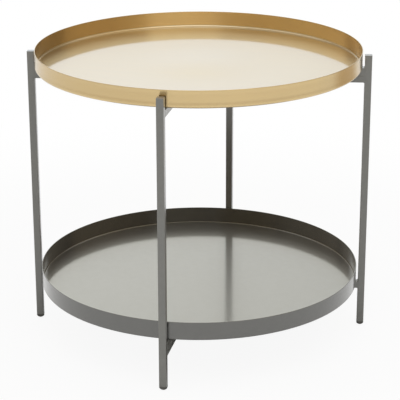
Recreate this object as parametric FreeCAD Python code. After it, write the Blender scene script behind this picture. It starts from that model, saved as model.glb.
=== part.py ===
"""Round tray table with a tray on top, a tray below and a frame that folds about its centre.

Sizes are in millimetres, +Z is up, and the origin is on the floor under the centre of the table.
The outer frame carries the front and back legs, and its cross bars run along Y. The inner frame
carries the left and right legs, and its cross bars nest between those of the outer frame.
"""
import FreeCAD, Part
import math
import os

# Whole table
table_height = 498.0
crossing_angle = 81.8

# Trays
tray_diameter = 550.0
upper_tray_depth = 29.0
lower_tray_depth = 31.0
tray_sheet = 1.2
tray_bend_radius = 4.0
tray_rim_round = 0.4

# Square tube of the legs and cross bars
tube_side = 12.0
tube_wall = 1.2
tube_corner_radius = 1.2
tube_inner_radius = 0.4

# Legs
tray_to_leg_gap = 3.5
leg_top_below_rim = 9.5
leg_cap_thickness = 1.5
leg_cap_edge_round = 0.5

# Cross bars and the risers at their ends
lower_bar_height = 57.0
riser_length = 30.0
riser_bevel = 2.0

# Foot glides
glide_height = 7.0
glide_flat_diameter = 3.0
glide_dome_radius = 8.2
glide_stem_length = 12.0
glide_stem_clearance = 0.1

# Rubber pads that hold the trays clear of the bolt heads
pad_diameter = 9.0
tray_over_bolt_head = 0.5
pad_edge_round = 0.6
pad_from_leg = 17.5

# Pivot bolts at the crossings
bolt_diameter = 5.0
bolt_clearance = 0.05
bolt_end_length = 1.0
bolt_end_bevel = 0.5
bolt_head_diameter = 9.5
bolt_head_height = 1.5
bolt_head_round = 0.6
bolt_socket_width = 3.0
bolt_socket_depth = 1.0
spacer_diameter = 11.0
spacer_thickness = 1.2
washer_diameter = 10.0
washer_thickness = 1.0
nut_width = 8.0
nut_height = 3.5
nut_collar_diameter = 7.4
nut_collar_height = 1.5
nut_collar_round = 0.6
sleeve_wall = 1.4

# Places worked out from the sizes above
origin = FreeCAD.Vector(0.0, 0.0, 0.0)
up = FreeCAD.Vector(0.0, 0.0, 1.0)
across = FreeCAD.Vector(0.0, 1.0, 0.0)
quarter_turn = 90.0
half_turn = 180.0
full_turn = 360.0

outer_angle = quarter_turn
inner_angle = quarter_turn - crossing_angle
leg_angles = {
    "front": outer_angle - half_turn,
    "back": outer_angle,
    "right": inner_angle,
    "left": inner_angle + half_turn,
}
outer_legs = ("front", "back")
inner_legs = ("left", "right")

tray_radius = tray_diameter / 2.0
tube_half = tube_side / 2.0
tube_inner_side = tube_side - 2.0 * tube_wall
leg_inner_face = tray_radius + tray_to_leg_gap
leg_ring_radius = leg_inner_face + tube_half
leg_top = table_height - leg_top_below_rim
bolt_hole_diameter = bolt_diameter + 2.0 * bolt_clearance
pad_height = bolt_head_height + tray_over_bolt_head

# Heights of the lower crossing, from the outer bar up to the tray
outer_lower_underside = lower_bar_height
inner_lower_underside = outer_lower_underside + tube_side + spacer_thickness
lower_seat = inner_lower_underside + tube_side
lower_tray_underside = lower_seat + pad_height

# Heights of the upper crossing, from the tray down to the inner bar
upper_tray_underside = table_height - upper_tray_depth
upper_seat = upper_tray_underside - pad_height
outer_upper_underside = upper_seat - tube_side
inner_upper_underside = outer_upper_underside - spacer_thickness - tube_side


def turned(shape, angle):
    """Turn a shape about the table's centre line."""
    shape.rotate(origin, up, angle)
    return shape


def raised(shape, height):
    """Move a shape up."""
    shape.translate(up * height)
    return shape


def at_leg(shape, name):
    """Move a shape made on the centre line out to the middle of a leg."""
    shape.translate(FreeCAD.Vector(leg_ring_radius, 0.0, 0.0))
    return turned(shape, leg_angles[name])


def square_prism(side, corner_radius, length):
    """Upright square prism on the centre line with rounded upright edges."""
    corner = FreeCAD.Vector(-side / 2.0, -side / 2.0, 0.0)
    block = Part.makeBox(side, side, length, corner)
    upright = [edge for edge in block.Edges if edge.BoundBox.ZLength > length / 2.0]
    return block.makeFillet(corner_radius, upright)


def square_tube(length):
    """Upright length of the frame's square tube."""
    outside = square_prism(tube_side, tube_corner_radius, length)
    inside = square_prism(tube_inner_side, tube_inner_radius, length)
    return outside.cut(inside)


def ring(outer_diameter, inner_diameter, thickness, height):
    """Flat ring on the centre line whose underside is at the given height."""
    disc = Part.makeCylinder(outer_diameter / 2.0, thickness)
    hole = Part.makeCylinder(inner_diameter / 2.0, thickness)
    return raised(disc.cut(hole), height)


def hexagon_prism(width, length):
    """Upright hexagonal prism with the given width across its flats."""
    sides = 6
    corner_distance = width / 2.0 / math.cos(math.pi / sides)
    points = []
    for step in range(sides + 1):
        angle = step * 2.0 * math.pi / sides
        points.append(FreeCAD.Vector(math.cos(angle), math.sin(angle), 0.0) * corner_distance)
    return Part.Face(Part.makePolygon(points)).extrude(up * length)


def arc_through(centre, radius, start, end):
    """Arc in the XZ plane about a centre, from one angle to another in degrees."""
    points = []
    for angle in (start, (start + end) / 2.0, end):
        turn = math.radians(angle)
        points.append(centre + FreeCAD.Vector(math.cos(turn), 0.0, math.sin(turn)) * radius)
    return Part.Arc(*points).toShape()


def section_face(edges):
    """Face bounded by arcs and the straight runs that join each edge to the next one."""
    closed = []
    for index, edge in enumerate(edges):
        closed.append(edge)
        here = edge.valueAt(edge.LastParameter)
        following = edges[(index + 1) % len(edges)]
        there = following.valueAt(following.FirstParameter)
        if here.distanceToPoint(there) > Part.Precision.confusion():
            closed.append(Part.LineSegment(here, there).toShape())
    return Part.Face(Part.Wire(closed))


def tray(underside, depth):
    """Pressed sheet tray: a flat floor, a small bend and an upright rim with rounded edges."""
    outer_bend = tray_bend_radius + tray_sheet
    rim_top = depth - tray_rim_round
    inner_radius = tray_radius - tray_sheet
    bend_radius = tray_radius - outer_bend
    bend_centre = FreeCAD.Vector(bend_radius, 0.0, outer_bend)
    outer_rim_centre = FreeCAD.Vector(tray_radius - tray_rim_round, 0.0, rim_top)
    inner_rim_centre = FreeCAD.Vector(inner_radius + tray_rim_round, 0.0, rim_top)
    floor_top = FreeCAD.Vector(0.0, 0.0, tray_sheet)
    section = section_face([
        Part.LineSegment(floor_top, origin).toShape(),
        arc_through(bend_centre, outer_bend, -quarter_turn, 0.0),
        arc_through(outer_rim_centre, tray_rim_round, 0.0, quarter_turn),
        arc_through(inner_rim_centre, tray_rim_round, quarter_turn, half_turn),
        arc_through(bend_centre, tray_bend_radius, 0.0, -quarter_turn),
    ])
    return raised(section.revolve(origin, up, full_turn), underside)


def leg(name):
    """Square tube leg from its foot glide up to its cap."""
    tube = square_tube(leg_top - leg_cap_thickness - glide_height)
    return at_leg(raised(tube, glide_height), name)


def leg_cap(name):
    """Plate that closes the top of a leg, with its top edges rounded."""
    plate = square_prism(tube_side, tube_corner_radius, leg_cap_thickness)
    rim = [edge for edge in plate.Edges if edge.BoundBox.ZMin > leg_cap_thickness / 2.0]
    plate = plate.makeFillet(leg_cap_edge_round, rim)
    return at_leg(raised(plate, leg_top - leg_cap_thickness), name)


def foot_glide(name):
    """Domed foot under a leg, with a small flat to stand on and a stem inside the tube."""
    flat_radius = glide_flat_diameter / 2.0
    dome_centre = math.sqrt(glide_dome_radius ** 2 - flat_radius ** 2)
    dome = Part.makeSphere(glide_dome_radius, FreeCAD.Vector(0.0, 0.0, dome_centre))
    head = square_prism(tube_side, tube_corner_radius, glide_height).common(dome)
    stem_side = tube_inner_side - 2.0 * glide_stem_clearance
    stem = raised(square_prism(stem_side, tube_inner_radius, glide_stem_length), glide_height)
    return at_leg(head.fuse(stem).removeSplitter(), name)


def cross_bar(angle, underside):
    """Square tube between the inner faces of two legs, drilled for the pivot bolt."""
    length = 2.0 * leg_inner_face
    bar = square_tube(length)
    bar.translate(up * (-length / 2.0))
    bar.rotate(origin, across, quarter_turn)
    hole = Part.makeCylinder(bolt_hole_diameter / 2.0, tube_side)
    bar = bar.cut(raised(hole, -tube_half))
    return turned(raised(bar, underside + tube_half), angle)


def riser(name, bar_top, seat):
    """Block on the end of the further bar that lifts the tray's seat level with the nearer bar."""
    corner = FreeCAD.Vector(leg_inner_face - riser_length, -tube_half, bar_top)
    block = Part.makeBox(riser_length, tube_side, seat - bar_top, corner)
    middle = block.CenterOfMass
    top_edges = [edge for edge in block.Edges if edge.BoundBox.ZMin > middle.z]
    top_inner_edge = [edge for edge in top_edges if edge.BoundBox.XMax < middle.x]
    return turned(block.makeChamfer(riser_bevel, top_inner_edge), leg_angles[name])


def pad(name, seat):
    """Rubber pad that the tray rests on."""
    disc = Part.makeCylinder(pad_diameter / 2.0, pad_height)
    top = [edge for edge in disc.Edges if edge.BoundBox.ZMin > pad_height / 2.0]
    disc = disc.makeFillet(pad_edge_round, top)
    disc.translate(FreeCAD.Vector(leg_inner_face - pad_from_leg, 0.0, seat))
    return turned(disc, leg_angles[name])


def pivot_bolt(head_seat, nut_seat):
    """Low-headed socket bolt through both bars of a crossing."""
    tip = nut_seat - washer_thickness - nut_height - nut_collar_height - bolt_end_length
    shank = Part.makeCylinder(bolt_diameter / 2.0, head_seat - tip)
    end = [edge for edge in shank.Edges if edge.BoundBox.ZMax < bolt_end_bevel]
    shank = raised(shank.makeChamfer(bolt_end_bevel, end), tip)
    head = Part.makeCylinder(bolt_head_diameter / 2.0, bolt_head_height)
    crown = [edge for edge in head.Edges if edge.BoundBox.ZMin > bolt_head_height / 2.0]
    head = head.makeFillet(bolt_head_round, crown)
    socket = raised(hexagon_prism(bolt_socket_width, bolt_socket_depth), bolt_head_height - bolt_socket_depth)
    head = raised(head.cut(socket), head_seat)
    return shank.fuse(head).removeSplitter()


def pivot_nut(nut_seat):
    """Lock nut under a crossing: a hexagon with a round collar below it."""
    height = nut_height + nut_collar_height
    hexagon = raised(hexagon_prism(nut_width, nut_height), nut_collar_height)
    collar = Part.makeCylinder(nut_collar_diameter / 2.0, nut_collar_height)
    lip = [edge for edge in collar.Edges if edge.BoundBox.ZMax < nut_collar_height / 2.0]
    collar = collar.makeFillet(nut_collar_round, lip)
    hole = Part.makeCylinder(bolt_hole_diameter / 2.0, height)
    body = hexagon.fuse(collar).removeSplitter().cut(hole)
    return raised(body, nut_seat - washer_thickness - height)


def sleeve(underside):
    """Steel sleeve inside a bar that keeps the bolt from crushing the tube."""
    outer_diameter = bolt_hole_diameter + 2.0 * sleeve_wall
    return ring(outer_diameter, bolt_hole_diameter, tube_inner_side, underside + tube_wall)


def spacer(lower_bar_underside):
    """Thin washer between the two bars of a crossing, on which the inner frame turns."""
    return ring(spacer_diameter, bolt_hole_diameter, spacer_thickness, lower_bar_underside + tube_side)


def washer(nut_seat):
    """Washer between the lock nut and the bar above it."""
    return ring(washer_diameter, bolt_hole_diameter, washer_thickness, nut_seat - washer_thickness)


def table_parts():
    """Every piece of the table by its name."""
    parts = {
        "upper_tray": tray(upper_tray_underside, upper_tray_depth),
        "lower_tray": tray(lower_tray_underside, lower_tray_depth),
        "outer_upper_bar": cross_bar(outer_angle, outer_upper_underside),
        "outer_lower_bar": cross_bar(outer_angle, outer_lower_underside),
        "inner_upper_bar": cross_bar(inner_angle, inner_upper_underside),
        "inner_lower_bar": cross_bar(inner_angle, inner_lower_underside),
        "outer_upper_sleeve": sleeve(outer_upper_underside),
        "outer_lower_sleeve": sleeve(outer_lower_underside),
        "inner_upper_sleeve": sleeve(inner_upper_underside),
        "inner_lower_sleeve": sleeve(inner_lower_underside),
        "upper_pivot_bolt": pivot_bolt(upper_seat, inner_upper_underside),
        "upper_pivot_spacer": spacer(inner_upper_underside),
        "upper_pivot_washer": washer(inner_upper_underside),
        "upper_pivot_nut": pivot_nut(inner_upper_underside),
        "lower_pivot_bolt": pivot_bolt(lower_seat, outer_lower_underside),
        "lower_pivot_spacer": spacer(outer_lower_underside),
        "lower_pivot_washer": washer(outer_lower_underside),
        "lower_pivot_nut": pivot_nut(outer_lower_underside),
    }
    for name in leg_angles:
        parts[name + "_leg"] = leg(name)
        parts[name + "_leg_cap"] = leg_cap(name)
        parts[name + "_foot_glide"] = foot_glide(name)
        parts[name + "_upper_pad"] = pad(name, upper_seat)
        parts[name + "_lower_pad"] = pad(name, lower_seat)
    for name in outer_legs:
        parts[name + "_lower_riser"] = riser(name, outer_lower_underside + tube_side, lower_seat)
    for name in inner_legs:
        parts[name + "_upper_riser"] = riser(name, inner_upper_underside + tube_side, upper_seat)
    return parts


os.makedirs("parts", exist_ok=True)
for node, shape in table_parts().items():
    shape.exportStep("parts/" + node + ".step")
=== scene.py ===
"""Looks of the round tray table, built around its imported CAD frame.

The two trays and the weld seams are surfaces worked out here with numpy. Every other piece is the
CAD node itself, in a procedural finish. Sizes are in metres, in the frame of the CAD model: +Z is
up, the origin is on the floor under the table's centre, and the camera stands on the -Y side.
"""

import logging
import math
from abc import ABC, abstractmethod
from dataclasses import dataclass, replace
from enum import Enum
from typing import ClassVar

import bpy
import numpy as np
from mathutils import Matrix, Vector


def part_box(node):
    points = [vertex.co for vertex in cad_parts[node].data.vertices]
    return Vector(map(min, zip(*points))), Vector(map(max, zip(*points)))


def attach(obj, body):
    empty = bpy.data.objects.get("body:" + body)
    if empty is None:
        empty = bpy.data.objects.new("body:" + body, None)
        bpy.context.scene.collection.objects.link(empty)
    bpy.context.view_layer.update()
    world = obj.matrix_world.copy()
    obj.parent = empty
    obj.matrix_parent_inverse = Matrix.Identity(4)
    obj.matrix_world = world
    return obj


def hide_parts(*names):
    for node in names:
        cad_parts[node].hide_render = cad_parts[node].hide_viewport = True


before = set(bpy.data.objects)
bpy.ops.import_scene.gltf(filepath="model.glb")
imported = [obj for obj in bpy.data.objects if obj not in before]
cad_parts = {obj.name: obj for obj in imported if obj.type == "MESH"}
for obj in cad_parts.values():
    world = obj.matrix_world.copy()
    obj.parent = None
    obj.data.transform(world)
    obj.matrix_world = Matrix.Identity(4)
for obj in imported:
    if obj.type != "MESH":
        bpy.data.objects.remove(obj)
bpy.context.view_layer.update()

MILLIMETRE = 0.001

FULL_TURN = 2.0 * math.pi
WHITE = (1.0, 1.0, 1.0, 1.0)

Triple = tuple[float, float, float]
Colour = Triple
Point = tuple[float, float]
Feed = bpy.types.NodeSocket | float | tuple[float, ...]

log = logging.getLogger("tray_table")


class Brush(Enum):
    """Direction in which a metal sheet was brushed."""

    ACROSS = "straight lines along X"
    AROUND = "rings about the table's centre line"

    def stretch(self, along: float, over: float) -> Triple:
        """Give the scale of a noise whose grains are drawn out into brush marks.

        Args:
            along: grains per metre in the direction of the brush.
            over: grains per metre at right angles to it.

        Returns:
            The scale along X, Y and Z.
        """
        if self is Brush.ACROSS:
            return (along, over, over)
        return (along, along, over)


class Side(Enum):
    """The two frames, each named by the body that carries it."""

    OUTER = "outer_frame"
    INNER = "inner_frame"


class ShaderGraph:
    """Nodes of one shader tree, added and wired by the names of their sockets."""

    NOISE_MIDDLE: ClassVar[Point] = (0.3, 0.7)

    def __init__(self, tree: bpy.types.NodeTree) -> None:
        """Take over a tree and empty it.

        Args:
            tree: node tree of a material or of the world.
        """
        self.tree = tree
        self.tree.nodes.clear()

    def add(self, kind: str, feeds: dict[int | str, Feed], **settings: object) -> bpy.types.Node:
        """Add a node.

        Args:
            kind: Blender's name of the node type.
            feeds: an output to link or a value to set, by input name or number.
            **settings: properties of the node itself.

        Returns:
            The new node.
        """
        node = self.tree.nodes.new(kind)
        for key, value in settings.items():
            setattr(node, key, value)
        self.feed(node, feeds)
        return node

    def feed(self, node: bpy.types.Node, feeds: dict[int | str, Feed]) -> None:
        """Link outputs to a node's inputs, or set their values.

        Args:
            node: the node to feed.
            feeds: an output to link or a value to set, by input name or number.
        """
        for key, value in feeds.items():
            if isinstance(value, bpy.types.NodeSocket):
                self.tree.links.new(value, node.inputs[key])
            else:
                node.inputs[key].default_value = value

    def bump(self, height: Feed) -> bpy.types.NodeSocket:
        """Return the socket of the normal that a height in metres gives."""
        return self.add("ShaderNodeBump", {"Height": height, "Strength": 1.0, "Distance": 1.0}).outputs[0]

    def math(self, operation: str, first: Feed, second: Feed = 0.0) -> bpy.types.NodeSocket:
        """Combine two numbers and return the result's socket."""
        return self.add("ShaderNodeMath", {0: first, 1: second}, operation=operation).outputs[0]

    def place(self) -> bpy.types.NodeSocket:
        """Return the socket of the Object coordinates."""
        return self.add("ShaderNodeTexCoord", {}).outputs["Object"]

    def gloss(self, rays: bpy.types.Node) -> bpy.types.NodeSocket:
        """Return the socket that is 1 for rays which gloss or glass sends out, from a Light Path node."""
        return self.math("MAXIMUM", rays.outputs["Is Glossy Ray"], rays.outputs["Is Transmission Ray"])

    def noise(self, place: Feed, scale: Triple, detail: float = 2.0) -> bpy.types.NodeSocket:
        """Add a noise whose grains have their own size along each axis.

        Args:
            place: coordinates to read.
            scale: grains per metre along X, Y and Z.
            detail: number of finer layers.

        Returns:
            The socket of the noise, about 0 to 1 with its middle at 0.5.
        """
        mapped = self.add("ShaderNodeMapping", {"Vector": place, "Scale": scale})
        feeds = {"Vector": mapped.outputs[0], "Scale": 1.0, "Detail": detail}
        return self.add("ShaderNodeTexNoise", feeds).outputs[0]

    def band(self, value: Feed, low: float, high: float) -> bpy.types.NodeSocket:
        """Map the middle of a noise to a band of values.

        Args:
            value: a noise.
            low: result below the middle of the noise.
            high: result above it.

        Returns:
            The socket of the mapped value.
        """
        start, end = self.NOISE_MIDDLE
        feeds = {"Value": value, "From Min": start, "From Max": end, "To Min": low, "To Max": high}
        return self.add("ShaderNodeMapRange", feeds, interpolation_type="SMOOTHSTEP").outputs[0]

    def ramp(self, value: Feed, start: float, end: float) -> bpy.types.NodeSocket:
        """Return the socket of a smooth step from 0 at start to 1 at end."""
        feeds = {"Value": value, "From Min": start, "From Max": end}
        return self.add("ShaderNodeMapRange", feeds, interpolation_type="SMOOTHSTEP").outputs[0]

    def mix(self, factor: Feed, first: Feed, second: Feed) -> bpy.types.NodeSocket:
        """Return the socket of a colour between two colours."""
        colour_sockets = {0: factor, 6: first, 7: second}
        return self.add("ShaderNodeMix", colour_sockets, data_type="RGBA").outputs[2]


def opaque(colour: Colour) -> tuple[float, float, float, float]:
    """Give a colour the fourth number that a socket needs."""
    return (*colour, 1.0)


def shade(colour: Colour, factor: float) -> tuple[float, float, float, float]:
    """Lighten or darken a surface colour, no further than white, for a socket."""
    return opaque(tuple(min(1.0, part * factor) for part in colour))


def even(size: float) -> Triple:
    """Give the scale of a noise whose grains have one size along every axis."""
    return (1.0 / size,) * 3


def put_in_scene(name: str, data: bpy.types.ID) -> bpy.types.Object:
    """Make an object of a mesh, lamp or camera and link it to the scene."""
    made = bpy.data.objects.new(name, data)
    bpy.context.scene.collection.objects.link(made)
    return made


@dataclass(frozen=True)
class Finish(ABC):
    """A surface finish that becomes one procedural material.

    Attributes:
        name: name of the material.
        colour: linear colour of the surface at its middle tone.
        tone_spread: share by which the colour varies over the surface.
        roughness: middle of the roughness.
        roughness_spread: how far the roughness varies to either side.
    """

    name: str
    colour: Colour
    tone_spread: float
    roughness: float
    roughness_spread: float

    @abstractmethod
    def wire(self, graph: ShaderGraph, surface: bpy.types.Node) -> None:
        """Wire the finish into a surface shader."""

    def material(self) -> bpy.types.Material:
        """Build the material once and return it each time after that."""
        known = bpy.data.materials.get(self.name)
        if known is not None:
            return known
        made = bpy.data.materials.new(self.name)
        made.use_nodes = True
        graph = ShaderGraph(made.node_tree)
        surface = graph.add("ShaderNodeBsdfPrincipled", {})
        graph.add("ShaderNodeOutputMaterial", {"Surface": surface.outputs[0]})
        self.wire(graph, surface)
        return made

    def tone(self, graph: ShaderGraph, noise: Feed) -> bpy.types.NodeSocket:
        """Return the socket of the finish's colour, varied by a noise."""
        factor = graph.band(noise, 0.0, 1.0)
        dark = shade(self.colour, 1.0 - self.tone_spread)
        light = shade(self.colour, 1.0 + self.tone_spread)
        return graph.mix(factor, dark, light)

    def rough(self, graph: ShaderGraph, noise: Feed) -> bpy.types.NodeSocket:
        """Return the socket of the finish's roughness, varied by a noise."""
        spread = self.roughness_spread
        return graph.band(noise, self.roughness - spread, self.roughness + spread)


@dataclass(frozen=True)
class BrushedBrass(Finish):
    """Brushed brass sheet under clear lacquer.

    Attributes:
        brush: direction of the brush marks.
        mark_width: width of a single brush mark.
        mark_length: length of a single brush mark.
        mark_depth: depth of the brush marks.
        sheet_wave: height of the slow waves that rolling leaves in the sheet.
        wave_length: length of those waves.
        stretch_of_gloss: how far a highlight is drawn out across the marks, 0 to 1.
        lacquer: weight of the lacquer, 0 to 1.
        lacquer_index: refractive index of the lacquer.
        lacquer_roughness: roughness of the lacquer.
        rim_edge_darkening: share by which the rim's top edges are darker.
    """

    brush: Brush
    mark_width: float
    mark_length: float
    mark_depth: float
    sheet_wave: float
    wave_length: float
    stretch_of_gloss: float
    lacquer: float
    lacquer_index: float
    lacquer_roughness: float
    rim_edge_darkening: float

    # Groups of marks, in lengths and widths of a single mark, and their share of the pattern
    GROUP_LENGTH: ClassVar[float] = 5.0
    GROUP_WIDTH: ClassVar[float] = 12.5
    GROUP_SHARE: ClassVar[float] = 0.6
    LEAST_RIM_DARKENING: ClassVar[float] = 0.3

    def wire(self, graph: ShaderGraph, surface: bpy.types.Node) -> None:
        """Wire brush marks into colour, roughness and height, and darken the rim's top edges.

        Args:
            graph: the material's nodes.
            surface: the surface shader to feed.
        """
        place = graph.place()
        hair = graph.noise(place, self.brush.stretch(1.0 / self.mark_length, 1.0 / self.mark_width), 3.0)
        group_length = self.mark_length * self.GROUP_LENGTH
        group_width = self.mark_width * self.GROUP_WIDTH
        broad = graph.noise(place, self.brush.stretch(1.0 / group_length, 1.0 / group_width))
        wave = graph.noise(place, even(self.wave_length), 1.0)
        single = graph.math("MULTIPLY", hair, 1.0 - self.GROUP_SHARE)
        marks = graph.math("ADD", single, graph.math("MULTIPLY", broad, self.GROUP_SHARE))
        edge = graph.add("ShaderNodeAttribute", {}, attribute_name=Tray.EDGE_ATTRIBUTE).outputs["Fac"]
        # The rim's top edges are darker, in streaks that follow the brush marks.
        rim_edge_share = graph.math("MULTIPLY", edge, graph.band(hair, self.LEAST_RIM_DARKENING, 1.0))
        darker_rim_edge = shade(self.colour, 1.0 - self.rim_edge_darkening)
        depth = graph.math("MULTIPLY", hair, self.mark_depth)
        height = graph.math("ADD", depth, graph.math("MULTIPLY", wave, self.sheet_wave))
        tangent = graph.add("ShaderNodeTangent", {}, direction_type="UV_MAP", uv_map=Tray.BRUSH_MAP)
        graph.feed(surface, {
            "Base Color": graph.mix(rim_edge_share, self.tone(graph, marks), darker_rim_edge),
            "Roughness": self.rough(graph, marks),
            "Normal": graph.bump(height),
            "Tangent": tangent.outputs[0],
            "Metallic": 1.0,
            "Anisotropic": self.stretch_of_gloss,
            "Coat Weight": self.lacquer,
            "Coat Roughness": self.lacquer_roughness,
            "Coat IOR": self.lacquer_index,
        })


@dataclass(frozen=True)
class GreyLacquer(Finish):
    """Smooth grey metallic paint, baked on, with a fine orange peel and edges made lighter, partly as
    thinner paint and partly as a painted highlight.

    Attributes:
        flake: share of the surface that shines as metal.
        flake_size: size of the metal flakes.
        peel_size: distance between the crests of the orange peel.
        peel_height: height of the orange peel.
        clear_coat: weight of the clear coat, 0 to 1.
        clear_index: refractive index of the clear coat and of the paint below it.
        clear_roughness: roughness of the clear coat.
        edge_radius: reach of the lighter edges, thinner paint and painted highlight, from an edge.
        edge_wear_and_highlight: share by which the edges are lighter, partly as thinner paint and partly
            as a painted highlight.
    """

    flake: float
    flake_size: float
    peel_size: float
    peel_height: float
    clear_coat: float
    clear_index: float
    clear_roughness: float
    edge_radius: float
    edge_wear_and_highlight: float

    # Size of a cloud in flakes, and how far a normal and its softened copy agree on flats and edges
    CLOUD_SIZE: ClassVar[float] = 50.0
    EDGE_AGREEMENT: ClassVar[Point] = (0.99, 0.85)
    LEAST_EDGE_LIGHTENING: ClassVar[float] = 0.35

    def wire(self, graph: ShaderGraph, surface: bpy.types.Node) -> None:
        """Wire flakes, clouding, orange peel, and edges made lighter as thinner paint and as a painted
        highlight.

        Args:
            graph: the material's nodes.
            surface: the surface shader to feed.
        """
        place = graph.place()
        flakes = graph.noise(place, even(self.flake_size), 1.0)
        clouds = graph.noise(place, even(self.flake_size * self.CLOUD_SIZE), 3.0)
        peel = graph.noise(place, even(self.peel_size), 1.0)
        mottle = graph.math("MULTIPLY", graph.math("ADD", flakes, clouds), 0.5)
        softened = graph.add("ShaderNodeBevel", {"Radius": self.edge_radius}, samples=4)
        facing = graph.add("ShaderNodeNewGeometry", {})
        agreement = graph.add(
            "ShaderNodeVectorMath",
            {0: softened.outputs[0], 1: facing.outputs["Normal"]},
            operation="DOT_PRODUCT",
        )
        edge = graph.ramp(agreement.outputs["Value"], *self.EDGE_AGREEMENT)
        # Lighter edges: partly thinner paint, partly a painted highlight.
        thinner_paint_and_highlight = graph.math("MULTIPLY", edge, graph.band(clouds, self.LEAST_EDGE_LIGHTENING, 1.0))
        lighter = shade(self.colour, 1.0 + self.edge_wear_and_highlight)
        graph.feed(surface, {
            "Base Color": graph.mix(thinner_paint_and_highlight, self.tone(graph, mottle), lighter),
            "Roughness": self.rough(graph, clouds),
            "Normal": graph.bump(graph.math("MULTIPLY", peel, self.peel_height)),
            "Metallic": self.flake,
            "IOR": self.clear_index,
            "Coat Weight": self.clear_coat,
            "Coat Roughness": self.clear_roughness,
            "Coat IOR": self.clear_index,
        })


@dataclass(frozen=True)
class GrainedPolymer(Finish):
    """Moulded plastic or rubber with an even grain.

    Attributes:
        grain_size: distance between the grains.
        grain_height: height of the grains.
        sheen: weight of the dusty sheen of rubber.
    """

    grain_size: float
    grain_height: float
    sheen: float

    # Size of a cloud in grains
    CLOUD_SIZE: ClassVar[float] = 12.5

    def wire(self, graph: ShaderGraph, surface: bpy.types.Node) -> None:
        """Wire a moulded grain and slow clouding.

        Args:
            graph: the material's nodes.
            surface: the surface shader to feed.
        """
        place = graph.place()
        grain = graph.noise(place, even(self.grain_size))
        clouds = graph.noise(place, even(self.grain_size * self.CLOUD_SIZE), 3.0)
        graph.feed(surface, {
            "Base Color": self.tone(graph, clouds),
            "Roughness": self.rough(graph, grain),
            "Normal": graph.bump(graph.math("MULTIPLY", grain, self.grain_height)),
            "Sheen Weight": self.sheen,
        })


@dataclass(frozen=True)
class ZincPlate(Finish):
    """Bright zinc on turned steel fasteners, clouded by handling and marked by the lathe.

    Attributes:
        cloud_size: size of the clouds in the plating.
        turning_pitch: distance between the lathe marks along the bolt.
        turning_depth: depth of those marks.
    """

    cloud_size: float
    turning_pitch: float
    turning_depth: float

    # Length of a lathe mark in pitches
    TURNING_LENGTH: ClassVar[float] = 10.0

    def wire(self, graph: ShaderGraph, surface: bpy.types.Node) -> None:
        """Wire clouds into colour and roughness, and lathe marks into the height.

        Args:
            graph: the material's nodes.
            surface: the surface shader to feed.
        """
        place = graph.place()
        clouds = graph.noise(place, even(self.cloud_size), 3.0)
        around = 1.0 / (self.turning_pitch * self.TURNING_LENGTH)
        turning = graph.noise(place, (around, around, 1.0 / self.turning_pitch))
        graph.feed(surface, {
            "Base Color": self.tone(graph, clouds),
            "Roughness": self.rough(graph, clouds),
            "Normal": graph.bump(graph.math("MULTIPLY", turning, self.turning_depth)),
            "Metallic": 1.0,
        })


BRASS_WALL = BrushedBrass(
    name="brass_brushed_round_the_rim",
    colour=(0.73, 0.55, 0.28),
    tone_spread=0.03,
    roughness=0.25,
    roughness_spread=0.02,
    brush=Brush.AROUND,
    mark_width=0.3 * MILLIMETRE,
    mark_length=45.0 * MILLIMETRE,
    mark_depth=0.002 * MILLIMETRE,
    sheet_wave=0.03 * MILLIMETRE,
    wave_length=70.0 * MILLIMETRE,
    stretch_of_gloss=0.8,
    lacquer=0.6,
    lacquer_index=1.5,
    lacquer_roughness=0.12,
    rim_edge_darkening=0.25,
)
BRASS_FLOOR = BrushedBrass(
    name="brass_brushed_across_the_floor",
    colour=(0.61, 0.49, 0.29),
    tone_spread=0.04,
    roughness=0.41,
    roughness_spread=0.03,
    brush=Brush.ACROSS,
    mark_width=0.35 * MILLIMETRE,
    mark_length=60.0 * MILLIMETRE,
    mark_depth=0.003 * MILLIMETRE,
    sheet_wave=0.04 * MILLIMETRE,
    wave_length=120.0 * MILLIMETRE,
    stretch_of_gloss=0.0,
    lacquer=1.0,
    lacquer_index=2.0,
    lacquer_roughness=0.07,
    rim_edge_darkening=0.25,
)
# The lower tray's rim and floor are one grey paint. This copy, for the rim, is darker, as painted shade.
GREY_TRAY_WALL_PAINTED_SHADE = GreyLacquer(
    name="grey_lacquer_rim_painted_shade",
    colour=(0.116, 0.115, 0.107),
    tone_spread=0.06,
    roughness=0.19,
    roughness_spread=0.015,
    flake=0.8,
    flake_size=0.25 * MILLIMETRE,
    peel_size=1.4 * MILLIMETRE,
    peel_height=0.0003 * MILLIMETRE,
    clear_coat=1.0,
    clear_index=1.7,
    clear_roughness=0.16,
    edge_radius=0.8 * MILLIMETRE,
    edge_wear_and_highlight=0.3,
)
# The floor's copy of the same grey paint is lighter, as painted light.
GREY_TRAY_FLOOR_PAINTED_LIGHT = replace(
    GREY_TRAY_WALL_PAINTED_SHADE,
    name="grey_lacquer_floor_painted_light",
    colour=(0.165, 0.163, 0.148),
    roughness=0.36,
    roughness_spread=0.03,
    flake=0.6,
    clear_index=1.89,
    clear_roughness=0.11,
)
GREY_FRAME = replace(
    GREY_TRAY_WALL_PAINTED_SHADE,
    name="grey_frame_lacquer",
    colour=(0.185, 0.185, 0.171),
    tone_spread=0.07,
    roughness=0.34,
    roughness_spread=0.05,
    flake=0.15,
    peel_size=1.1 * MILLIMETRE,
    peel_height=0.006 * MILLIMETRE,
    clear_index=1.5,
    edge_radius=0.7 * MILLIMETRE,
)
DARK_GLIDE = GrainedPolymer(
    name="dark_moulded_glide",
    colour=(0.095, 0.093, 0.086),
    tone_spread=0.15,
    roughness=0.5,
    roughness_spread=0.08,
    grain_size=0.35 * MILLIMETRE,
    grain_height=0.01 * MILLIMETRE,
    sheen=0.0,
)
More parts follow.
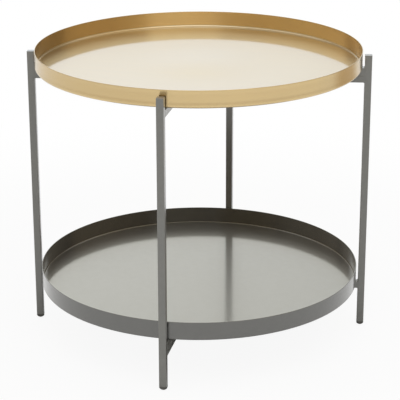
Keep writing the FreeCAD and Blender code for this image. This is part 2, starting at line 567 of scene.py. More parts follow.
PAD_RUBBER = GrainedPolymer(
    name="black_pad_rubber",
    colour=(0.022, 0.022, 0.022),
    tone_spread=0.2,
    roughness=0.75,
    roughness_spread=0.08,
    grain_size=0.25 * MILLIMETRE,
    grain_height=0.02 * MILLIMETRE,
    sheen=0.15,
)
NYLON = GrainedPolymer(
    name="black_nylon",
    colour=(0.05, 0.05, 0.05),
    tone_spread=0.12,
    roughness=0.45,
    roughness_spread=0.06,
    grain_size=0.3 * MILLIMETRE,
    grain_height=0.006 * MILLIMETRE,
    sheen=0.0,
)
ZINC = ZincPlate(
    name="bright_zinc_plate",
    colour=(0.58, 0.60, 0.62),
    tone_spread=0.12,
    roughness=0.32,
    roughness_spread=0.08,
    cloud_size=1.5 * MILLIMETRE,
    turning_pitch=0.25 * MILLIMETRE,
    turning_depth=0.008 * MILLIMETRE,
)


@dataclass(frozen=True)
class Section:
    """Outline of a turned piece in the half plane of radius and height, axis to axis.

    Attributes:
        radius: distance of each point from the centre line.
        height: height of each point.
        normal: outward direction at each point, as radius and height.
        length: length of the outline up to each point.
        edge: how far each point lies on the rim's top edges, 0 to 1.
    """

    radius: np.ndarray
    height: np.ndarray
    normal: np.ndarray
    length: np.ndarray
    edge: np.ndarray


def straight(start: Point, end: Point, steps: int) -> np.ndarray:
    """Divide a straight run of an outline evenly, without its last point.

    Each point is start + (end - start) * k / steps for k from 0.

    Args:
        start: radius and height where the run starts.
        end: radius and height where it ends.
        steps: number of pieces.

    Returns:
        An array of radius, height and the normal's two parts, one row for each point. The normal is
        the run's direction turned a quarter turn to the left.
    """
    share = np.arange(steps)[:, None] / steps
    first = np.array(start)
    run = np.array(end) - first
    left = np.array((-run[1], run[0])) / np.linalg.norm(run)
    return np.hstack((first + share * run, np.broadcast_to(left, (steps, 2))))


def bend(centre: Point, radius: float, turn: Point, steps: int) -> np.ndarray:
    """Divide an arc of an outline evenly, without its last point.

    Each point is centre + radius * (cos a, sin a), with the angle a going from one end of the turn
    to the other. The normal points away from the centre on a turn to smaller angles, which is a
    round outer edge, and towards it on a turn to larger ones.

    Args:
        centre: radius and height of the arc's centre.
        radius: radius of the arc.
        turn: first and last angle in degrees.
        steps: number of pieces.

    Returns:
        An array of radius, height and the normal's two parts, one row for each point.
    """
    angle = np.radians(turn[0] + (turn[1] - turn[0]) * np.arange(steps) / steps)
    ray = np.column_stack((np.cos(angle), np.sin(angle)))
    facing = 1.0 if turn[1] < turn[0] else -1.0
    return np.hstack((np.array(centre) + radius * ray, facing * ray))


def way_round(count: int) -> np.ndarray:
    """Divide a full turn evenly and return the angle at each step."""
    return np.arange(count) * FULL_TURN / count


def ring_faces(rings: int, around: int) -> tuple[np.ndarray, np.ndarray, np.ndarray]:
    """Join rings of points with four-sided faces, the last step of each ring to its first.

    Args:
        rings: number of rings.
        around: number of points in each ring.

    Returns:
        The ring and the step of each face, and the numbers of its four points.
    """
    grid = np.meshgrid(np.arange(rings - 1), np.arange(around), indexing="ij")
    ring, step = (part.ravel() for part in grid)
    here = ring * around + step
    beside = ring * around + (step + 1) % around
    return ring, step, np.column_stack((here, here + around, beside + around, beside))


@dataclass
class Tray:
    """A pressed sheet tray: a floor, a small bend and an upright rim with rounded edges.

    Attributes:
        node: the CAD node that the tray stands for.
        piece: name of the dressed piece.
        body: CAD body that it rides on.
        slot: material slot of the record. Not used.
        wall_finish: finish of the rim, inside and outside.
        floor_finish: finish of the floor with its bend, and of the underside.
        sheet: thickness of the sheet.
        bend_radius: inside radius of the bend between floor and rim.
        rim_round: rounding of the rim's top edges.
        dish: how far the floor is sunk at its lowest ring.
        dish_middle: how far its very middle is sunk, which stays clear of the bolt below.
        dish_ring: radius of the lowest ring.
        dish_edge: radius at which the floor starts to sink.
        wall_draw: how far the outside of the rim is drawn in between its foot and its top.
        draw_foot: height over which it draws in above the bend.
        draw_top: height over which it comes out again below the top.
        around: number of pieces round the tray.
        floor_rings: number of rings from the centre to the bend.
        wall_rings: number of rings up the rim.
        arc_rings: number of rings in each bend.
    """

    node: str
    piece: str
    body: str
    slot: str
    wall_finish: Finish
    floor_finish: Finish
    sheet: float = 1.2 * MILLIMETRE
    bend_radius: float = 3.0 * MILLIMETRE
    rim_round: float = 0.4 * MILLIMETRE
    dish: float = 0.0
    dish_middle: float = 0.0
    dish_ring: float = 105.0 * MILLIMETRE
    dish_edge: float = 225.0 * MILLIMETRE
    wall_draw: float = 0.0
    draw_foot: float = 6.0 * MILLIMETRE
    draw_top: float = 7.0 * MILLIMETRE
    around: int = 480
    floor_rings: int = 24
    wall_rings: int = 20
    arc_rings: int = 8

    EDGE_ATTRIBUTE: ClassVar[str] = "rim_top_edge"
    BRUSH_MAP: ClassVar[str] = "brush_direction"

    def section(self) -> Section:
        """Work out the tray's outline from its box in the frame.

        The outline runs along the floor from the centre, up inside the rim, over its rounded top,
        down outside, round the outer bend and back to the centre along the underside.

        Returns:
            The outline.
        """
        low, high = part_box(self.node)
        radius = (high.x - low.x) / 2.0
        bottom = low.z
        top = high.z
        outer_bend = self.bend_radius + self.sheet
        bend_centre = (radius - outer_bend, bottom + outer_bend)
        rim_centre = top - self.rim_round
        inner = radius - self.sheet
        floor_top = bottom + self.sheet
        outline = np.vstack((
            straight((0.0, floor_top), (bend_centre[0], floor_top), self.floor_rings),
            bend(bend_centre, self.bend_radius, (-90.0, 0.0), self.arc_rings),
            straight((inner, bend_centre[1]), (inner, rim_centre), self.wall_rings),
            bend((inner + self.rim_round, rim_centre), self.rim_round, (180.0, 90.0), self.arc_rings),
            straight((inner + self.rim_round, top), (radius - self.rim_round, top), 1),
            bend((radius - self.rim_round, rim_centre), self.rim_round, (90.0, 0.0), self.arc_rings),
            self.draw_in(straight((radius, rim_centre), (radius, bend_centre[1]), self.wall_rings)),
            bend(bend_centre, outer_bend, (0.0, -90.0), self.arc_rings),
            straight((bend_centre[0], bottom), (0.0, bottom), self.floor_rings),
            np.array(((0.0, bottom, 0.0, -1.0),)),
        ))
        for rows in (slice(0, self.floor_rings), slice(-self.floor_rings - 1, None)):
            outline[rows] = self.sink(outline[rows])
        steps = np.linalg.norm(np.diff(outline[:, :2], axis=0), axis=1)
        length = np.concatenate(((0.0,), np.cumsum(steps)))
        edge = np.clip((outline[:, 1] - rim_centre) / self.rim_round + 0.5, 0.0, 1.0)
        return Section(outline[:, 0], outline[:, 1], outline[:, 2:], length, edge)

    def sink(self, floor: np.ndarray) -> np.ndarray:
        """Sink a floor in a wide ring, as pressing leaves it, and less in its middle.

        A point at radius r goes down by d e(t) - (d - m) e(s), where d is the dish, m the sink of the
        middle, e(x) = (1 + cos(pi x)) / 2, s runs from 0 at the centre to 1 at the lowest ring, and t
        from 0 there to 1 at the dish's edge. The normal leans against the slope.

        Args:
            floor: the floor's part of the outline, as rows of radius, height and normal.

        Returns:
            The same rows with the new heights and normals.
        """
        radius, height, _, up = floor.T
        wide = self.dish_edge - self.dish_ring
        rise = self.dish - self.dish_middle
        outward = math.pi * np.clip((radius - self.dish_ring) / wide, 0.0, 1.0)
        inward = math.pi * np.clip(radius / self.dish_ring, 0.0, 1.0)
        sunk = height - (self.dish * (1.0 + np.cos(outward)) - rise * (1.0 + np.cos(inward))) / 2.0
        slope = self.dish / wide * np.sin(outward) - rise / self.dish_ring * np.sin(inward)
        slope = slope * math.pi / 2.0
        facing = np.sign(up)
        size = np.hypot(slope, 1.0)
        return np.column_stack((radius, sunk, -slope * facing / size, facing / size))

    def draw_in(self, wall: np.ndarray) -> np.ndarray:
        """Draw the outside of the rim in a little between its foot and its top, as pressing leaves it.

        A point goes in by d (e(t) - e(f)), where d is the draw, e(x) = (1 - cos(pi x)) / 2, t runs
        from 0 at the top to 1 at the end of the upper curve, and f from 0 at the start of the lower
        curve to 1 at the foot. The normal leans with the slope.

        Args:
            wall: the outer run of the outline, from the top down, as rows of radius, height and normal.

        Returns:
            The same rows with the new radii and normals.
        """
        radius, height = wall[:, :2].T
        step = (height[0] - height[-1]) / (len(height) - 1)
        foot = height[-1] - step
        upper = math.pi * np.clip((height[0] - height) / self.draw_top, 0.0, 1.0)
        lower = math.pi * np.clip(1.0 - (height - foot) / self.draw_foot, 0.0, 1.0)
        drawn = radius - self.wall_draw * (np.cos(lower) - np.cos(upper)) / 2.0
        rise = self.wall_draw * math.pi / 2.0
        slope = rise * (np.sin(upper) / self.draw_top - np.sin(lower) / self.draw_foot)
        size = np.hypot(slope, 1.0)
        return np.column_stack((drawn, height, 1.0 / size, -slope / size))

    def mesh(self) -> bpy.types.Mesh:
        """Turn the outline about the centre line.

        The point at outline step i and angle a is (r[i] cos a, r[i] sin a, z[i]). The first and the
        last point lie on the centre line and are one vertex each, so both poles are closed, and the
        last angle joins the first.

        Returns:
            The mesh, with exact normals, a map of the brush direction and the rim's top edges.
        """
        section = self.section()
        rings = len(section.radius) - 2
        angle = way_round(self.around)
        cosine = np.cos(angle)
        sine = np.sin(angle)
        radius = section.radius[1:-1, None]
        height = np.broadcast_to(section.height[1:-1, None], (rings, self.around))
        grid = np.stack((radius * cosine, radius * sine, height), axis=-1).reshape(-1, 3)
        leaning = section.normal[1:-1, 0, None]
        rising = np.broadcast_to(section.normal[1:-1, 1, None], (rings, self.around))
        grid_normal = np.stack((leaning * cosine, leaning * sine, rising), axis=-1).reshape(-1, 3)
        poles = np.array(((0.0, 0.0, section.height[0]), (0.0, 0.0, section.height[-1])))
        pole_normal = np.array(((0.0, 0.0, 1.0), (0.0, 0.0, -1.0)))
        ring, step, quads = ring_faces(rings, self.around)
        rim = np.arange(self.around)
        following = (rim + 1) % self.around
        last_ring = (rings - 1) * self.around
        top_pole = np.full(self.around, rings * self.around)
        top_fan = np.column_stack((top_pole, rim, following))
        bottom_fan = np.column_stack((last_ring + rim, top_pole + 1, last_ring + following))
        mesh = bpy.data.meshes.new(self.piece)
        faces = quads.tolist() + top_fan.tolist() + bottom_fan.tolist()
        mesh.from_pydata(np.vstack((grid, poles)).tolist(), [], faces)
        mesh.polygons.foreach_set("use_smooth", np.ones(len(faces), dtype=bool))
        mesh.normals_split_custom_set_from_vertices(np.vstack((grid_normal, pole_normal)).tolist())
        self.map_brush(mesh, section, ring + 1, step)
        rim_top_share = np.concatenate((np.repeat(section.edge[1:-1], self.around), (0.0, 0.0)))
        attribute = mesh.attributes.new(self.EDGE_ATTRIBUTE, "FLOAT", "POINT")
        attribute.data.foreach_set("value", rim_top_share.astype(np.float32))
        self.dress(mesh, ring)
        return mesh

    def map_brush(
        self, mesh: bpy.types.Mesh, section: Section, ring: np.ndarray, step: np.ndarray
    ) -> None:
        """Lay a map over the mesh whose first axis runs at right angles to the brush marks.

        On the floors the map is (y, x). On the rim it is the length of the outline and the way round
        the tray, counted on past a full turn where the last face closes the ring.

        Args:
            mesh: the tray's mesh, with its ring faces before its two fans.
            section: the tray's outline.
            ring: outline step of each ring face.
            step: angle step of each ring face.
        """
        corner = np.zeros(len(mesh.loops), dtype=np.int64)
        mesh.loops.foreach_get("vertex_index", corner)
        place = np.zeros(len(mesh.vertices) * 3)
        mesh.vertices.foreach_get("co", place)
        place = place.reshape(-1, 3)[corner]
        brush = place[:, (1, 0)]
        outline_step = np.column_stack((ring, ring + 1, ring + 1, ring)).ravel()
        angle_step = np.column_stack((step, step, step + 1, step + 1)).ravel()
        along_rim = angle_step * FULL_TURN / self.around * section.radius.max()
        on_wall = np.repeat(self.is_wall(ring - 1), 4)
        rim_map = np.column_stack((section.length[outline_step], along_rim))
        brush[:len(on_wall)][on_wall] = rim_map[on_wall]
        layer = mesh.uv_layers.new(name=self.BRUSH_MAP)
        layer.data.foreach_set("uv", brush.ravel().astype(np.float32))

    def is_wall(self, ring: np.ndarray) -> np.ndarray:
        """Tell which ring faces belong to the rim, from the top of the inner bend to the outer bend."""
        first = self.floor_rings - 1 + self.arc_rings
        last = first + 3 * self.arc_rings + 2 * self.wall_rings + 1
        return (ring >= first) & (ring < last)

    def dress(self, mesh: bpy.types.Mesh, ring: np.ndarray) -> None:
        """Give the rim and the floors their finishes.

        Args:
            mesh: the tray's mesh.
            ring: number of each ring face's ring.
        """
        mesh.materials.append(self.floor_finish.material())
        mesh.materials.append(self.wall_finish.material())
        slots = np.zeros(len(mesh.polygons), dtype=np.int32)
        slots[:len(ring)] = self.is_wall(ring)
        mesh.polygons.foreach_set("material_index", slots)

    def build(self) -> bpy.types.Object:
        """Build the tray, put it on its body and hide the CAD node that it stands for."""
        piece = put_in_scene(self.piece, self.mesh())
        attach(piece, self.body)
        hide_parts(self.node)
        log.info("%s stands for %s on %s", self.piece, self.node, self.body)
        return piece


@dataclass
class WeldSeams:
    """The beads that join a frame's cross bars and risers to its legs.

    Attributes:
        side: the frame.
        joints: for each leg, the nodes that meet it in one joint.
        bead: half thickness of the bead over and under a bar.
        flush_bead: half thickness of the bead beside a bar, which is dressed almost flush.
        ripple: share by which each weld pool stands out.
        pool: length of a weld pool.
        along: number of pieces along a bead.
        round_bead: number of pieces round a bead.
    """

    side: Side
    joints: dict[str, tuple[tuple[str, ...], ...]]
    bead: float = 1.3 * MILLIMETRE
    flush_bead: float = 0.75 * MILLIMETRE
    ripple: float = 0.07
    pool: float = 1.2 * MILLIMETRE
    along: int = 240
    round_bead: int = 12

    # Power of the path's corners, share of the flush bead that is let in, and how fast a bead thins
    CORNER_POWER: ClassVar[float] = 0.18
    LET_IN: ClassVar[float] = 0.8
    THINNING_POWER: ClassVar[int] = 4

    def path(self, half_width: float, half_height: float) -> tuple[np.ndarray, np.ndarray, np.ndarray]:
        """Follow the outline of a bar's end.

        The path is a superellipse, (w sgn(cos a) |cos a|^p, h sgn(sin a) |sin a|^p), whose power p
        is small enough to make it a rectangle with rounded corners.

        Args:
            half_width: half the width of the bar.
            half_height: half the height of the joint.

        Returns:
            The points of the path, its outward direction at each point, and the length up to each.
        """
        angle = (np.arange(self.along) + 0.5) * FULL_TURN / self.along
        cosine = np.cos(angle)
        sine = np.sin(angle)
        across = half_width * np.sign(cosine) * np.abs(cosine) ** self.CORNER_POWER
        height = half_height * np.sign(sine) * np.abs(sine) ** self.CORNER_POWER
        points = np.column_stack((across, height))
        run = np.roll(points, -1, axis=0) - np.roll(points, 1, axis=0)
        outward = np.column_stack((run[:, 1], -run[:, 0]))
        outward /= np.linalg.norm(outward, axis=1)[:, None]
        steps = np.linalg.norm(np.diff(points, axis=0), axis=1)
        return points, outward, np.concatenate(((0.0,), np.cumsum(steps)))

    def seam(self, leg: str, nodes: tuple[str, ...]) -> tuple[np.ndarray, np.ndarray]:
        """Carry a round bead along the outline of one joint.

        The point at path step i and bead angle b is c[i] + t[i] (o[i] cos b + n sin b). c is the
        path, o its outward direction, n the direction along the bar and t the half thickness, which
        is full over and under the bar, small beside it, and ripples with the weld pools.

        Args:
            leg: name of the leg.
            nodes: the nodes that meet the leg here.

        Returns:
            The vertices and the faces, counted from 0.
        """
        low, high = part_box(leg + "_leg")
        out = Vector(((low.x + high.x) / 2.0, (low.y + high.y) / 2.0, 0.0))
        leg_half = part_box("front_leg")[1].x
        face = out.length - leg_half
        out.normalize()
        boxes = [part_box(node) for node in nodes]
        bottom = min(box[0].z for box in boxes)
        top = max(box[1].z for box in boxes)
        half_height = (top - bottom) / 2.0
        points, outward, length = self.path(leg_half - self.flush_bead * self.LET_IN, half_height)
        radial = np.array(out)
        sideways = np.array((-out.y, out.x, 0.0))
        upward = np.array((0.0, 0.0, 1.0))
        centre = radial * face + upward * (bottom + half_height)
        centre = centre + points[:, :1] * sideways + points[:, 1:] * upward
        direction = outward[:, :1] * sideways + outward[:, 1:] * upward
        upright = np.abs(outward[:, 1]) ** self.THINNING_POWER
        thickness = self.flush_bead + (self.bead - self.flush_bead) * upright
        thickness = thickness * (1.0 + self.ripple * np.sin(FULL_TURN * length / self.pool))
        turn = way_round(self.round_bead)
        ray = direction[:, None] * np.cos(turn)[:, None] + radial * np.sin(turn)[:, None]
        vertices = centre[:, None] + thickness[:, None, None] * ray
        step, spoke = np.meshgrid(np.arange(self.along), np.arange(self.round_bead), indexing="ij")
        next_step = (step + 1) % self.along
        next_spoke = (spoke + 1) % self.round_bead
        corners = ((step, spoke), (step, next_spoke), (next_step, next_spoke), (next_step, spoke))
        faces = np.stack([row * self.round_bead + column for row, column in corners], axis=-1)
        return vertices.reshape(-1, 3), faces.reshape(-1, 4)

    def build(self) -> bpy.types.Object:
        """Build all the frame's beads as one piece that rides on the frame.

        Returns:
            The piece.
        """
        seams = [self.seam(leg, nodes) for leg, joints in self.joints.items() for nodes in joints]
        counts = np.cumsum([0] + [len(vertices) for vertices, _ in seams])
        vertices = np.vstack([vertices for vertices, _ in seams])
        faces = np.vstack([faces + start for (_, faces), start in zip(seams, counts)])
        mesh = bpy.data.meshes.new(self.side.value + "_weld_seams")
        mesh.from_pydata(vertices.tolist(), [], faces.tolist())
        mesh.polygons.foreach_set("use_smooth", np.ones(len(faces), dtype=bool))
        mesh.materials.append(GREY_FRAME.material())
        piece = put_in_scene(mesh.name, mesh)
        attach(piece, self.side.value)
        log.info("%s: %d beads on %s", piece.name, len(seams), self.side.value)
        return piece


@dataclass
class CadNodes:
    """CAD nodes that keep their shape and get a finish.

    Attributes:
        finish: the finish.
        endings: how the names of the nodes end.
    """

    finish: Finish
    endings: tuple[str, ...]

    def dress(self) -> None:
        """Give each node of these endings the finish."""
        for name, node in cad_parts.items():
            if name.endswith(self.endings):
                node.data.materials.clear()
                node.data.materials.append(self.finish.material())
                log.info("%s in %s", name, self.finish.name)


@dataclass
class Camera:
    """The photograph's viewpoint.

    Attributes:
        lens: focal length in millimetres on the sensor below.
        sensor: width of the sensor in millimetres.
        stand_back: distance from the table's centre line, along the floor.
        height: height above the floor.
        swing: degrees that the viewpoint is swung round from the table's front, to its right.
        turn: degrees that the camera is turned to the right of the table's centre line.
        tilt: degrees that it looks down.
        roll: degrees that it leans.
    """

    lens: float = 142.36
    sensor: float = 36.0
    stand_back: float = 2.5891
    height: float = 1.1332
    swing: float = 11.798
    turn: float = 0.038
    tilt: float = 19.304
    roll: float = -0.136

    def build(self) -> bpy.types.Object:
        """Set up the scene's camera.

        Returns:
            The camera.
        """
        data = bpy.data.cameras.new("photograph_camera")
        data.lens = self.lens
        data.sensor_width = self.sensor
        camera = put_in_scene(data.name, data)
        heading = math.radians(self.swing - self.turn)
        level = math.radians(90.0 - self.tilt)
        before_table = Vector((0.0, -self.stand_back, self.height))
        place = Matrix.Rotation(math.radians(self.swing), 4, "Z") @ before_table
        turned = Matrix.Rotation(heading, 4, "Z") @ Matrix.Rotation(level, 4, "X")
        leaned = turned @ Matrix.Rotation(math.radians(self.roll), 4, "Z")
        camera.matrix_world = Matrix.Translation(place) @ leaned
        bpy.context.scene.camera = camera
        log.info("camera %.2f m back and %.2f m up", self.stand_back, self.height)
        return camera


@dataclass(frozen=True)
class Panel:
    """A patch of the studio's walls, as the table's gloss shows it.

    Attributes:
        heading: middle of the patch in degrees, clockwise from the wall behind the table.
        half_width: degrees from there to either side.
        fade: degrees over which its sides fade.
        rise: sine of the elevation at its lower and at its upper edge.
        colour: linear colour and brightness.
    """

    heading: float
    half_width: float
    fade: float
    rise: Point
    colour: Colour

    # Half the height over which the lower and the upper edge fade
    EDGE: ClassVar[float] = 0.06

    def share(self, graph: ShaderGraph, level: Feed, height: Feed) -> bpy.types.NodeSocket:
        """Work out how far a direction lies in the patch.

        Args:
            graph: the world's nodes.
            level: the direction without its height, at length 1.
            height: the height of the direction.

        Returns:
            The socket of the share, 0 outside and 1 inside.
        """
        turn = math.radians(self.heading)
        middle = (math.sin(turn), math.cos(turn), 0.0)
        nearness = graph.add("ShaderNodeVectorMath", {0: level, 1: middle}, operation="DOT_PRODUCT")
        outside = math.cos(math.radians(self.half_width + self.fade))
        inside = math.cos(math.radians(max(0.0, self.half_width - self.fade)))
        beside = graph.ramp(nearness.outputs["Value"], outside, inside)
        above = graph.ramp(height, self.rise[0] - self.EDGE, self.rise[0] + self.EDGE)
        below = graph.ramp(height, self.rise[1] + self.EDGE, self.rise[1] - self.EDGE)
        return graph.math("MULTIPLY", beside, graph.math("MULTIPLY", above, below))


@dataclass
class Studio:
    """White studio: pale floor, walls bright behind the table and dim before it, and a softbox.

    Attributes:
        dim_foot: colour of the foot of the walls before the table.
        dim_low: the same above it.
        low_edge: sines of the elevation at which that starts and is full.
        dim_high: the same further up.
        high_edge: sines of the elevation at which that starts and is full.
        ceiling: linear colour and brightness of the lit ceiling, in gloss.
        ceiling_edge: sines of the elevation at which the walls end and that ceiling is full.
        zenith: the same of the dimmer ceiling straight above.
        zenith_edge: sines of the elevation at which it starts and is full.
        dull_ceiling: what dull surfaces get from the whole ceiling.
        dull_edge: sines of the elevation at which that starts and is full.
        panels: brighter and darker patches of walls and ceiling, each over the one before it.
        back: the white wall behind the table.
        back_patches: its brighter parts further up and to the left, and the dim ceiling above it.
        floor_painted_shade_and_light: patches of painted shade and painted light on the floor. Away from
            the table gloss shows them in place of the floor's own shading.
        dull_front: what dull surfaces get from the walls before the table.
        dull_back: what they get from the wall behind it.
        floor_radius: reach of the floor.
        floor_colour: linear colour of the floor.
        shadow_share: how much of the floor's own shading the camera sees near the table.
        gloss_share: how much of it gloss shows beside the table.
        deep_shade: distances from the centre up to which gloss shows all of it, and from which not.
        fade: distances from the centre at which the shading starts to fade and is gone.
        floor_rings: radius of each ring of the floor, as a share of its reach.
        floor_spokes: number of points in each ring.
        softbox_side: side of the square softbox overhead.
        softbox_place: where it hangs.
        softbox_power: its power in watts.
    """

    dim_foot: Colour = (0.20, 0.17, 0.13)
    dim_low: Colour = (0.91, 0.69, 0.39)
    low_edge: Point = (0.07, 0.19)
    dim_high: Colour = (0.22, 0.19, 0.15)
    high_edge: Point = (0.22, 0.36)
    ceiling: Colour = (1.05, 1.03, 0.96)
    ceiling_edge: Point = (0.55, 0.66)
    zenith: Colour = (0.80, 0.79, 0.77)
    zenith_edge: Point = (0.80, 0.92)
    dull_ceiling: Colour = (1.08, 1.08, 1.08)
    dull_edge: Point = (0.54, 0.66)
    panels: tuple[Panel, ...] = (
        Panel(262.0, 46.0, 14.0, (0.13, 0.28), (0.96, 0.75, 0.43)),
        Panel(76.0, 42.0, 12.0, (0.13, 0.28), (0.37, 0.26, 0.135)),
        Panel(99.0, 5.0, 4.0, (0.13, 0.28), (0.40, 0.27, 0.15)),
        Panel(149.0, 12.0, 8.0, (0.13, 0.28), (0.98, 0.81, 0.52)),
        Panel(178.0, 9.0, 6.0, (0.13, 0.28), (0.74, 0.55, 0.30)),
        Panel(208.0, 18.0, 6.0, (0.13, 0.28), (1.16, 0.87, 0.48)),
        Panel(213.0, 5.0, 4.0, (0.13, 0.28), (0.96, 0.72, 0.40)),
        Panel(320.0, 18.0, 8.0, (0.13, 0.28), (0.20, 0.11, 0.04)),
        Panel(32.0, 22.0, 6.0, (0.13, 0.28), (0.04, 0.02, 0.01)),
        Panel(165.0, 55.0, 20.0, (0.30, 0.55), (0.08, 0.07, 0.05)),
        Panel(280.0, 45.0, 20.0, (0.30, 0.55), (0.46, 0.42, 0.36)),
        Panel(88.0, 30.0, 10.0, (0.30, 0.55), (0.52, 0.43, 0.31)),
        Panel(90.0, 32.0, 12.0, (0.50, 2.0), (0.85, 0.70, 0.46)),
    )
    back: Panel = Panel(346.0, 20.0, 8.0, (-2.0, 2.0), (1.04, 1.10, 1.17))
    back_patches: tuple[Panel, ...] = (
        Panel(346.0, 20.0, 8.0, (0.33, 0.75), (1.28, 1.28, 1.17)),
        Panel(341.0, 8.0, 6.0, (-2.0, 0.30), (1.11, 1.18, 1.28)),
        Panel(341.0, 8.0, 6.0, (0.33, 0.75), (1.46, 1.46, 1.34)),
        Panel(346.0, 35.0, 20.0, (0.66, 0.92), (0.50, 0.46, 0.40)),
    )
    floor_painted_shade_and_light: tuple[Panel, ...] = (
        Panel(50.0, 14.0, 8.0, (-2.0, 2.0), (0.60, 0.51, 0.39)),
        Panel(135.0, 48.0, 15.0, (-2.0, 2.0), (0.92, 0.92, 0.91)),
    )
    dull_front: Colour = (0.20, 0.18, 0.15)
    dull_back: Colour = (1.0, 1.0, 1.0)
    floor_radius: float = 9.0
    floor_colour: Colour = (0.74, 0.74, 0.73)
    shadow_share: float = 0.08
    gloss_share: float = 0.4
    deep_shade: Point = (0.26, 0.40)
    fade: Point = (0.6, 1.3)
    floor_rings: tuple[float, ...] = (0.01, 0.05, 0.15, 0.4, 1.0)
    floor_spokes: int = 96
    softbox_side: float = 2.6
    softbox_place: Triple = (0.65, -1.5, 2.2)
    softbox_power: float = 22.0

    def surround(self) -> None:
        """Make the world.

        To the camera it is white. Gloss sees the studio's walls and ceiling with all their patches,
        and dull surfaces get a plainer studio that is dim before the table.
        """
        world = bpy.data.worlds.new("white_studio")
        bpy.context.scene.world = world
        world.use_nodes = True
        graph = ShaderGraph(world.node_tree)
        direction = graph.add("ShaderNodeTexCoord", {}).outputs["Generated"]
        height = graph.add("ShaderNodeSeparateXYZ", {"Vector": direction}).outputs["Z"]
        flat = graph.add("ShaderNodeVectorMath", {0: direction, 1: (1.0, 1.0, 0.0)}, operation="MULTIPLY")
        level = graph.add("ShaderNodeVectorMath", {0: flat.outputs[0]}, operation="NORMALIZE").outputs[0]
        colour = opaque(self.dim_foot)
        for edge, above in (
            (self.low_edge, self.dim_low),
            (self.high_edge, self.dim_high),
            (self.ceiling_edge, self.ceiling),
            (self.zenith_edge, self.zenith),
        ):
            colour = graph.mix(graph.ramp(height, *edge), colour, opaque(above))
        for panel in (*self.panels, self.back, *self.back_patches):
            colour = graph.mix(panel.share(graph, level, height), colour, opaque(panel.colour))
        behind = self.back.share(graph, level, height)
        dull = graph.mix(behind, opaque(self.dull_front), opaque(self.dull_back))
        dull = graph.mix(graph.ramp(height, *self.dull_edge), dull, opaque(self.dull_ceiling))
        rays = graph.add("ShaderNodeLightPath", {})
        lit = graph.mix(graph.gloss(rays), dull, colour)
        seen = graph.mix(rays.outputs["Is Camera Ray"], lit, WHITE)
        surround = graph.add("ShaderNodeBackground", {"Color": seen, "Strength": 1.0})
        graph.add("ShaderNodeOutputWorld", {"Surface": surround.outputs[0]})

    def floor(self) -> bpy.types.Object:
        """Lay the floor, a disc whose point at ring i and angle a is (r[i] cos a, r[i] sin a, 0).

        Returns:
            The floor.
        """
        radius = self.floor_radius * np.array(self.floor_rings)[:, None]
        angle = way_round(self.floor_spokes)
        across = radius * np.cos(angle)
        along = radius * np.sin(angle)
        vertices = np.stack((across, along, np.zeros_like(across)), axis=-1).reshape(-1, 3)
        faces = ring_faces(len(radius), self.floor_spokes)[2].tolist()
        faces.append(list(range(self.floor_spokes)))
        mesh = bpy.data.meshes.new("studio_floor")
        mesh.from_pydata(vertices.tolist(), [], faces)
        mesh.materials.append(self.floor_material())
        floor = put_in_scene(mesh.name, mesh)
        return floor

    def floor_material(self) -> bpy.types.Material:
        """Make the floor's material: pale, and whitened for the camera and for gloss.

        Near the table the camera still sees a share of the floor's own shading, so that the table's shadow
        stays. Gloss sees a larger share of it, and all of it under the table. Further out, gloss sees
        patches of painted shade and painted light in place of the floor's own shading.

        Returns:
            The material.
        """
        made = bpy.data.materials.new("pale_floor")
        made.use_nodes = True
        graph = ShaderGraph(made.node_tree)
        matt = graph.add("ShaderNodeBsdfDiffuse", {"Color": opaque(self.floor_colour)})
        away = graph.add("ShaderNodeVectorMath", {0: graph.place()}, operation="LENGTH").outputs["Value"]
        level = graph.add("ShaderNodeVectorMath", {0: graph.place()}, operation="NORMALIZE").outputs[0]
        near = graph.ramp(away, self.fade[1], self.fade[0])
        rays = graph.add("ShaderNodeLightPath", {})
        gloss = graph.gloss(rays)
        far_gloss = graph.math("MULTIPLY", gloss, graph.ramp(away, *self.fade))
        backdrop_and_painted_light = WHITE
        painted_share = 0.0
        # Patches of painted shade and painted light on the floor, seen only in gloss and away from the
        # table.
        for patch in self.floor_painted_shade_and_light:
            share = graph.math("MULTIPLY", patch.share(graph, level, 0.0), far_gloss)
            backdrop_and_painted_light = graph.mix(share, backdrop_and_painted_light, opaque(patch.colour))
            painted_share = graph.math("MAXIMUM", painted_share, share)
        white = graph.add("ShaderNodeEmission", {"Color": backdrop_and_painted_light, "Strength": 1.0})
        to_camera = graph.math("SUBTRACT", 1.0, graph.math("MULTIPLY", near, self.shadow_share))
        camera_white = graph.math("MULTIPLY", to_camera, rays.outputs["Is Camera Ray"])
        under = graph.ramp(away, self.deep_shade[1], self.deep_shade[0])
        shading = graph.math("MAXIMUM", under, self.gloss_share)
        own = graph.math("MULTIPLY", graph.math("SUBTRACT", 1.0, painted_share), shading)
        gloss_white = graph.math("MULTIPLY", gloss, graph.math("SUBTRACT", 1.0, own))
        factor = graph.math("MAXIMUM", camera_white, gloss_white)
        mixed = graph.add("ShaderNodeMixShader", {0: factor, 1: matt.outputs[0], 2: white.outputs[0]})
        graph.add("ShaderNodeOutputMaterial", {"Surface": mixed.outputs[0]})
        return made

    def softbox(self) -> bpy.types.Object:
        """Hang the softbox and aim it at the table.

        Returns:
            The lamp.
        """
        data = bpy.data.lights.new("overhead_softbox", "AREA")
        data.shape = "SQUARE"
        data.size = self.softbox_side
        data.energy = self.softbox_power
        lamp = put_in_scene(data.name, data)
        place = Vector(self.softbox_place)
        aim = place.to_track_quat("Z", "Y").to_matrix().to_4x4()
        lamp.matrix_world = Matrix.Translation(place) @ aim
        lamp.visible_camera = False
        return lamp

    def build(self) -> None:
        """Build the whole studio."""
        self.surround()
        self.floor()
        self.softbox()
        log.info("studio ready")


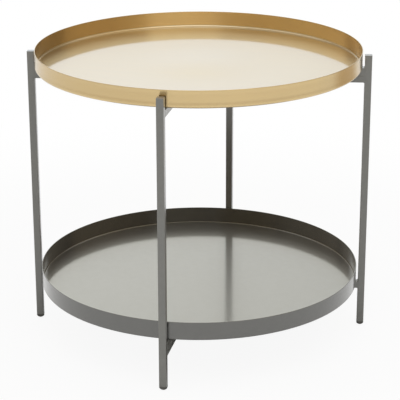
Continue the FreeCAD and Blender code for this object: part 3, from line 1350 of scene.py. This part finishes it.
def main() -> None:
    """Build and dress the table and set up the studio."""
    logging.basicConfig(level=logging.INFO, format="%(name)s: %(message)s")
    bpy.context.scene.view_settings.view_transform = "Standard"
    Tray("upper_tray", "upper_tray_brass", "top_tray", "brass_finish", BRASS_WALL, BRASS_FLOOR,
         dish=1.8 * MILLIMETRE, dish_middle=0.4 * MILLIMETRE, wall_draw=0.3 * MILLIMETRE).build()
    Tray("lower_tray", "lower_tray_grey", "bottom_tray", "grey_tray", GREY_TRAY_WALL_PAINTED_SHADE, GREY_TRAY_FLOOR_PAINTED_LIGHT,
         bend_radius=1.5 * MILLIMETRE).build()
    outer_joints = {
        leg: (("outer_upper_bar",), ("outer_lower_bar", leg + "_lower_riser")) for leg in ("front", "back")
    }
    inner_joints = {
        leg: (("inner_upper_bar", leg + "_upper_riser"), ("inner_lower_bar",)) for leg in ("left", "right")
    }
    WeldSeams(Side.OUTER, outer_joints).build()
    WeldSeams(Side.INNER, inner_joints).build()
    CadNodes(GREY_FRAME, ("_leg", "_leg_cap", "_bar", "_riser")).dress()
    CadNodes(DARK_GLIDE, ("_foot_glide",)).dress()
    CadNodes(PAD_RUBBER, ("_pad",)).dress()
    CadNodes(ZINC, ("_bolt", "_nut", "_washer", "_sleeve")).dress()
    CadNodes(NYLON, ("_spacer",)).dress()
    Studio().build()
    Camera().build()


if __name__ == "__main__":
    main()
